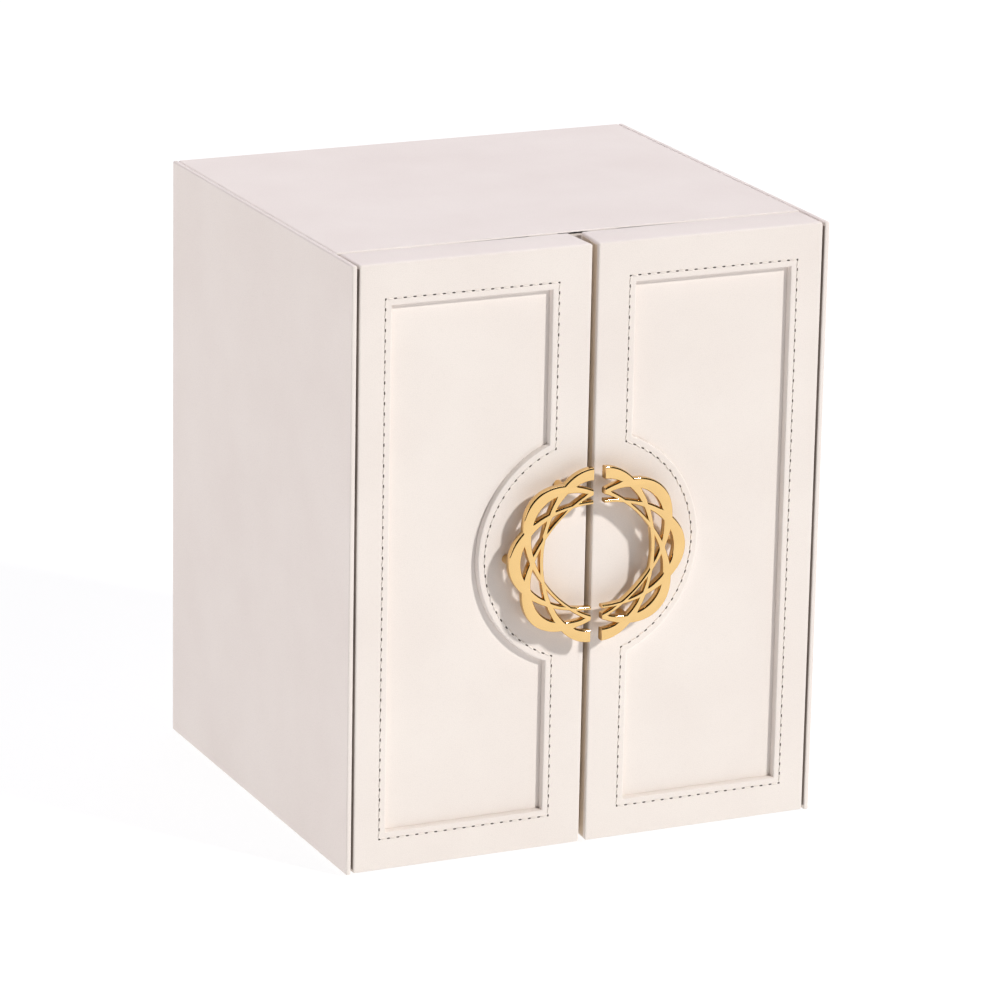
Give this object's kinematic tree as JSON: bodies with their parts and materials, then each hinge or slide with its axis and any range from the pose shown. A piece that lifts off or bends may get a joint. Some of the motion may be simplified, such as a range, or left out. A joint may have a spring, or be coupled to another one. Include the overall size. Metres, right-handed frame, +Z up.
{
  "type": "jewellery chest with drawers",
  "caption": "Leather-covered jewellery chest: two doors with sunk panels and a split openwork ring handle, hiding lined drawers and necklace hooks.",
  "frame": {"origin": "on the table, below the middle of the closed chest (doors included, handle left out)", "axes": "+Z up, doors face -Y, +X to the right seen from the front"},
  "size_m": [0.24, 0.23, 0.29],
  "materials": {
    "leather": "satin",
    "velvet": "matte",
    "gold": "polished",
    "steel": "satin",
    "pad": "matte"
  },
  "bodies": {
    "chest": {"top_board": "leather", "bottom_board": "leather", "left_wall": "leather", "right_wall": "leather", "back_board": "leather", "left_side_board": "leather", "right_side_board": "leather", "shelf_1": "leather", "shelf_2": "leather", "shelf_3": "leather", "shelf_4": "leather", "base_pad": "pad", "carcass_magnets": "steel", "left_hinge_leather": "leather", "right_hinge_leather": "leather"},
    "left_door": {"left_door_body": "leather", "left_door_panel": "leather", "left_door_lining": "velvet", "left_door_catch_plates": "steel", "left_door_hooks": "gold", "left_handle": "gold", "left_handle_posts": "gold", "left_handle_screws": "steel"},
    "right_door": {"right_door_body": "leather", "right_door_panel": "leather", "right_door_lining": "velvet", "right_door_catch_plates": "steel", "right_door_hooks": "gold", "right_handle": "gold", "right_handle_posts": "gold", "right_handle_screws": "steel"},
    "drawer_1": {"drawer_1_tray": "velvet", "drawer_1_front": "leather", "drawer_1_knob": "gold", "drawer_1_mat": "velvet", "drawer_1_ring_rolls": "velvet"},
    "drawer_2": {"drawer_2_tray": "velvet", "drawer_2_front": "leather", "drawer_2_knob": "gold", "drawer_2_mat": "velvet", "drawer_2_divider": "velvet"},
    "drawer_3": {"drawer_3_tray": "velvet", "drawer_3_front": "leather", "drawer_3_knob": "gold", "drawer_3_mat": "velvet", "drawer_3_divider": "velvet"},
    "drawer_4": {"drawer_4_tray": "velvet", "drawer_4_front": "leather", "drawer_4_knob": "gold", "drawer_4_mat": "velvet", "drawer_4_divider": "velvet"},
    "drawer_5": {"drawer_5_tray": "velvet", "drawer_5_front": "leather", "drawer_5_knob": "gold", "drawer_5_mat": "velvet"}
  },
  "joints": [
    {"name": "left_door_hinge", "type": "hinge", "parent": "chest", "child": "left_door", "pos_m": [-0.117, -0.11025, 0.145], "axis": [0, 0, -1], "range_deg": [0, 180], "deforming": ["left_hinge_leather"]},
    {"name": "right_door_hinge", "type": "hinge", "parent": "chest", "child": "right_door", "pos_m": [0.117, -0.11025, 0.145], "axis": [0, 0, 1], "range_deg": [0, 180], "deforming": ["right_hinge_leather"]},
    {"name": "drawer_1_slide", "type": "slide", "parent": "chest", "child": "drawer_1", "axis": [0, -1, 0], "range_m": [0, 0.0754]},
    {"name": "drawer_2_slide", "type": "slide", "parent": "chest", "child": "drawer_2", "axis": [0, -1, 0], "range_m": [0, 0.0754]},
    {"name": "drawer_3_slide", "type": "slide", "parent": "chest", "child": "drawer_3", "axis": [0, -1, 0], "range_m": [0, 0.0754]},
    {"name": "drawer_4_slide", "type": "slide", "parent": "chest", "child": "drawer_4", "axis": [0, -1, 0], "range_m": [0, 0.0754]},
    {"name": "drawer_5_slide", "type": "slide", "parent": "chest", "child": "drawer_5", "axis": [0, -1, 0], "range_m": [0, 0.0754]}
  ],
  "couplings": [
    {"joint": "right_door_hinge", "follows": "left_door_hinge", "ratio": 1},
    {"joint": "drawer_1_slide", "follows": "left_door_hinge", "m_per_rad": 0.024},
    {"joint": "drawer_2_slide", "follows": "left_door_hinge", "m_per_rad": 0.024},
    {"joint": "drawer_3_slide", "follows": "left_door_hinge", "m_per_rad": 0.024},
    {"joint": "drawer_4_slide", "follows": "left_door_hinge", "m_per_rad": 0.024},
    {"joint": "drawer_5_slide", "follows": "left_door_hinge", "m_per_rad": 0.024}
  ]
}
